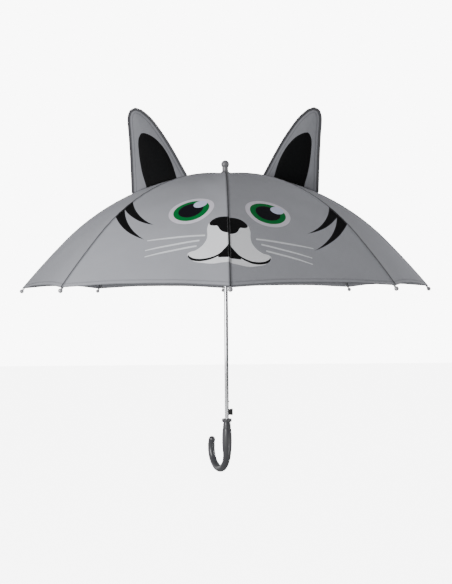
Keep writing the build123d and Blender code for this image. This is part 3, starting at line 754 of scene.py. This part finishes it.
ear_cloth = ear_finish()
rows, columns = 56, 33
for name, body, mirror in (("ear_right", "rib_3", 1), ("ear_left", "rib_7", -1)):
    inner, outer = smooth_line(ear_inner_edge, rows) * mm, smooth_line(ear_outer_edge, rows) * mm
    # The cord's outer side lies about on the outline, so the cloth ends a little inside it
    inner[:-1, 0] += edge_radius * 0.8
    outer[:-1, 0] -= edge_radius * 0.8
    outer[-4:, 1] -= edge_radius
    inner[-4:, 1] -= edge_radius
    inner[-1] = outer[-1]
    share = np.linspace(0, 1, columns)
    share = 0.5 - 0.5 * np.cos(pi * share)
    flat = inner[:, None] * (1 - share[None, :, None]) + outer[:, None] * share[None, :, None]
    # The foot follows the dome
    feet = flat[0, :, 0]
    dome = dome_top - dome_radius + np.sqrt(dome_radius**2 - feet**2) + cloth_gap
    fade = (1 - np.linspace(0, 1, rows)) ** 3
    flat[:, :, 1] += (dome - flat[0, :, 1])[None] * fade[:, None]
    rim = np.concatenate([flat[:, 0], flat[:, -1]])
    gap = np.sqrt(((flat[:, :, None] - rim[None, None]) ** 2).sum(3)).min(2)
    swell = flange_half + ear_puff * (1 - np.exp(-np.maximum(gap - ear_flange, 0) / (11 * mm)))
    swell *= 0.5 + 0.5 * np.clip(gap / (1.2 * mm), 0, 1)
    swell += dart_swell * np.sin(flat[:, :, 1] / (9 * mm)) * np.exp(-gap / dart_length) * (gap > ear_flange)
    front = np.stack([flat[:, :, 0], -swell, flat[:, :, 1]], 2)
    back = front * (1, -1, 1)
    count = rows * columns
    faces = []
    for i in range(rows - 1):
        for j in range(columns - 1):
            a, b = i * columns + j, (i + 1) * columns + j
            faces += [(a, a + 1, b + 1, b), (a + count, b + count, b + 1 + count, a + 1 + count)]
        foot, head = i * columns, (i + 1) * columns
        for a, b in ((foot, head), (head + columns - 1, foot + columns - 1)):
            faces.append((a, b, b + count, a + count))
    faces += [(j + 1, j, j + count, j + 1 + count) for j in range(columns - 1)]
    vertices = np.concatenate([front.reshape(-1, 3), back.reshape(-1, 3)]) * (mirror, 1, 1)
    mesh = bpy.data.meshes.new(name)
    mesh.from_pydata(vertices.tolist(), [], faces)
    add_map(mesh, "from_edge", np.tile(gap, (2, 1)), np.tile(flat[:, :, 1], (2, 1)))
    shape = bmesh.new()
    shape.from_mesh(mesh)
    bmesh.ops.remove_doubles(shape, verts=shape.verts, dist=0.02 * mm)
    bmesh.ops.recalc_face_normals(shape, faces=shape.faces)
    shape.to_mesh(mesh)
    shape.free()
    smooth(mesh, sharp=None)
    ear = place(name + "_padded", mesh, body, ear_cloth)
    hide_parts(name)

    # Corded edge of darker cloth, all round the ear but for its foot
    line = bpy.data.curves.new(name + "_edge", "CURVE")
    line.dimensions, line.bevel_depth, line.bevel_resolution = "3D", edge_radius, 3
    line.use_fill_caps = True
    route = np.concatenate([inner, outer[::-1][1:]])
    spline = line.splines.new("POLY")
    spline.points.add(len(route) - 1)
    for point, (x, z) in zip(spline.points, route):
        point.co = (mirror * x, 0, z, 1)
    cord = bpy.data.objects.new(name + "_edge_curve", line)
    bpy.context.collection.objects.link(cord)
    mesh = bpy.data.meshes.new_from_object(cord.evaluated_get(bpy.context.evaluated_depsgraph_get()))
    mesh.name = name + "_edge"
    bpy.data.objects.remove(cord)
    mesh.materials.clear()
    smooth(mesh, sharp=None)
    edge_cloth = thread_finish(name + "_edge_cloth", (0.12, 0.12, 0.125))
    place(mesh.name, mesh, body, edge_cloth)

    # A row of stitches in the flange, on the front and on the back
    depth = ear_flange * 0.55
    in_flange = [*(inner + (depth, -0.2 * depth)), *(outer[::-1] - (depth, 0.4 * depth))]
    thread_rows = [np.array([(mirror * x, y * (flange_half + stitch_rise), z) for x, z in in_flange])
                   for y in (-1, 1)]
    sew(name + "_stitches", thread_rows, body)


# ---- Tie strap ----
# A doubled strip of the canopy's cloth, caught in the back rib's seam, that is wound round the
# rolled canopy. Its free end is rounded, and a nickel press stud is riveted through it there.

strap_width, strap_length, strap_cloth, strap_clear = 18 * mm, 125 * mm, 1.0 * mm, 0.4 * mm
strap_drop, strap_rounding, strap_hem = 70 * mm, 9 * mm, 2.2 * mm
strap_rib = 5
round_end = 1 - np.sin(np.linspace(0.1, 1, 12) * pi / 2)
along_strap = np.concatenate([np.linspace(0, strap_length - strap_rounding, 40),
                              strap_length - strap_rounding * round_end])
rounding = np.clip((along_strap - strap_length + strap_rounding) / strap_rounding, 0, 0.999)
half_width = strap_width / 2 * np.sqrt(1 - rounding**2)
strap_middle = hem_turn - (strap_drop + strap_width / 2) / free_radius


def on_strap(offset, lift):
    """Points over the back gore, at an offset from the strap's middle line."""
    turns = strap_middle + offset / free_radius
    share = along_strap[:offset.shape[1]] / (rib_line(turns)[0] * sin(half_step))
    return gore_points(azimuths[strap_rib], 1, turns, share, inward=-lift)


across_strap = np.linspace(-1, 1, 11)[:, None] * half_width[None, :]
bulge = 0.25 * mm * np.sin(np.linspace(0, pi, 11))[:, None]
points, seam, middle, length = on_strap(across_strap, strap_clear + strap_cloth + bulge)
# Clear of the painted shade along the seams and the hem, which the strap doesn't have
maps = {"from_seam": (seam + 0.02, length), "from_middle": (middle, length),
        "from_hem": (seam, 0.1 + 0 * seam)}
mesh = shell_mesh("tie_strap_cloth", points, maps, strap_cloth)
strap = place(mesh.name, mesh, f"rib_end_{strap_rib}", plain_cloth, plain_cloth)
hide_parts("tie_strap")
in_hem, on_top = (half_width - strap_hem)[None, :-3], strap_clear + strap_cloth + 0.3 * mm
thread_rows = [on_strap(side * in_hem, on_top)[0][0] for side in (-1, 1)]
strap_stitches = sew("tie_strap_stitches", thread_rows, f"rib_end_{strap_rib}")

# The stud: a copy of its turned cap, on the back rib's end with the strap
stud_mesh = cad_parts["tie_stud"].data.copy()
shape = bmesh.new()
shape.from_mesh(stud_mesh)
bmesh.ops.remove_doubles(shape, verts=shape.verts, dist=0.001 * mm)
shape.to_mesh(stud_mesh)
shape.free()
stud_mesh.materials.clear()
stud_mesh.name = "tie_strap_stud"
smooth(stud_mesh)


def steel(name, tint, roughness, drawn=0.0, speckle=0.02):
    """Plated steel: faint clouds in the plating, with lines along a drawn part."""
    finish = Finish(name)
    place = finish.object_place()
    cloud = finish.noise(place, 90, 3)
    along = finish.node("ShaderNodeMapping", {}, {"Vector": place, "Scale": (1.0, 1.0, 0.03)})
    lines = finish.noise(along, 1500, 2)
    return finish.surface(
        Base_Color=finish.shade(0.9 + cloud * 0.14 + lines * drawn, tint), Metallic=1.0,
        Roughness=roughness + cloud * 0.08 + lines * drawn * 0.4,
        height=finish.noise(place, 700, 1), depth=speckle * mm,
    )


stud_nickel = steel("stud_nickel", (0.62, 0.61, 0.58), 0.2)
stud = place(stud_mesh.name, stud_mesh, f"rib_end_{strap_rib}", stud_nickel)
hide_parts("tie_stud")
for piece in (strap, strap_stitches, stud):
    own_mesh(piece)

# ---- Ribs, stretchers and rib tips ----
# Ribs and stretchers are pressed from plated steel strip, folded to a channel and joined by
# rivets. Each rib ends in a small moulded ball, to which the canopy's corner is tied.


def dress(finish, *nodes):
    """Gives CAD parts their finish."""
    for node in nodes:
        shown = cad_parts[node]
        shown.data.materials.clear()
        shown.data.materials.append(finish)


def plastic(name, tint, roughness, coat=0.0, grain=0.05):
    """Moulded plastic: a little uneven in colour and gloss, with a fine grain."""
    finish = Finish(name)
    place = finish.object_place()
    cloud = finish.noise(place, 25, 2)
    rubbed = finish.noise(place, 260, 2).above(0.66, 0.08)
    return finish.surface(
        Base_Color=finish.shade(0.94 + cloud * 0.1 + rubbed * 0.03, tint),
        Roughness=roughness + cloud * 0.05 + rubbed * 0.04, Coat_Weight=coat, Coat_Roughness=0.08,
        height=finish.noise(place, 700, 2), depth=grain * mm,
    )


rib_plating = steel("ribs_plated", (0.60, 0.60, 0.61), 0.28)
tip_moulding = plastic("tips_pale", (0.40, 0.40, 0.42), 0.25, coat=0.5)
for k in azimuths:
    dress(rib_plating, f"rib_{k}", f"rib_end_{k}", f"stretcher_{k}")
    dress(tip_moulding, f"rib_tip_{k}")

# ---- Crown and runner ----
# Two black moulded blocks with slots for the ribs' and the stretchers' ends, which are threaded
# on a ring of spring wire. A grey washer under the finial holds the canopy's middle down.

black_moulding = plastic("black_moulded", (0.010, 0.010, 0.011), 0.42)
wire = steel("spring_wire", (0.45, 0.45, 0.46), 0.3)
finial_moulding = plastic("finial_grey", (0.20, 0.20, 0.21), 0.32, coat=0.3)
dress(black_moulding, "crown_notch", "runner")
dress(wire, "crown_ring_wire", "runner_ring_wire")
dress(finial_moulding, "crown_washer")

# ---- Shaft, stop and opening spring ----
# A chromed steel tube. The wire spring inside it stands on a seat low down and pushes a plunger,
# whose cross pin takes the runner up to a stop ring near the tube's top.

chrome = steel("shaft_plated", (0.90, 0.91, 0.94), 0.07, drawn=0.03, speckle=0.0)
dress(chrome, "shaft_tube")
dress(wire, "opening_spring", "spring_plunger")
dress(rib_plating, "runner_stop", "spring_seat")

# ---- Finial ----
# A ball on a neck with a flared skirt, moulded in the washer's grey plastic. It is fixed on the
# shaft's end and clamps the canopy's middle.

dress(finial_moulding, "finial")

# ---- Release button ----
# A black button that sticks out of a window in the shaft on a flat spring. A soft rubber sleeve
# fills the space between its head and the shaft, and gives way when the button is pressed.

dress(black_moulding, "release_button")
dress(wire, "latch_spring")
button_low, button_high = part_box("release_button")
shaft_radius, sleeve_sunk, head_depth, sleeve_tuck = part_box("shaft_tube")[1].x, 0.25 * mm, 4.6 * mm, 0.35 * mm
sleeve_foot, sleeve_head = shaft_radius - sleeve_sunk, button_high.x - head_depth
sleeve_rings, sleeve_corners = 7, 40
sleeve_middle = (button_low.z + button_high.z) / 2
sleeve_half = (button_high.z - button_low.z) / 2 - sleeve_tuck
sleeve_side = (button_high.y - button_low.y) / 2 - 0.3 * mm
straight = sleeve_half - sleeve_side
vertices, faces = [], []
for ring in range(sleeve_rings):
    share = ring / (sleeve_rings - 1)
    tuck = sleeve_tuck * sin(pi * share)
    for corner in range(sleeve_corners):
        angle = 2 * pi * corner / sleeve_corners
        y = (sleeve_side - tuck) * cos(angle)
        z = (sleeve_side - tuck) * sin(angle) + (straight if sin(angle) > 0 else -straight)
        # The foot is hollowed to the round of the shaft
        foot = np.sqrt(max(shaft_radius**2 - y**2, 0)) - sleeve_sunk
        vertices.append((foot + (sleeve_head - foot) * share, y, sleeve_middle + z))
for ring in range(sleeve_rings - 1):
    for corner in range(sleeve_corners):
        a, b = ring * sleeve_corners + corner, ring * sleeve_corners + (corner + 1) % sleeve_corners
        faces.append((a, b, b + sleeve_corners, a + sleeve_corners))
faces.append(tuple(range(sleeve_corners))[::-1])
faces.append(tuple(range(len(vertices) - sleeve_corners, len(vertices))))
mesh = bpy.data.meshes.new("button_sleeve")
mesh.from_pydata(vertices, [], faces)
face_up(mesh)
sleeve = place(mesh.name, mesh, "shaft", plastic("sleeve_rubber", (0.008, 0.008, 0.008), 0.6))
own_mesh(sleeve)

# ---- Handle ----
# A crook of glossy dark grey plastic, moulded over the shaft's end, with a rounded collar ring
# at its top and a separate cap on the end of the hook.

handle_moulding = plastic("handle_grey", (0.068, 0.068, 0.074), 0.26, coat=0.6, grain=0.004)
dress(handle_moulding, "hook_handle", "hook_end_cap", "grip_collar")
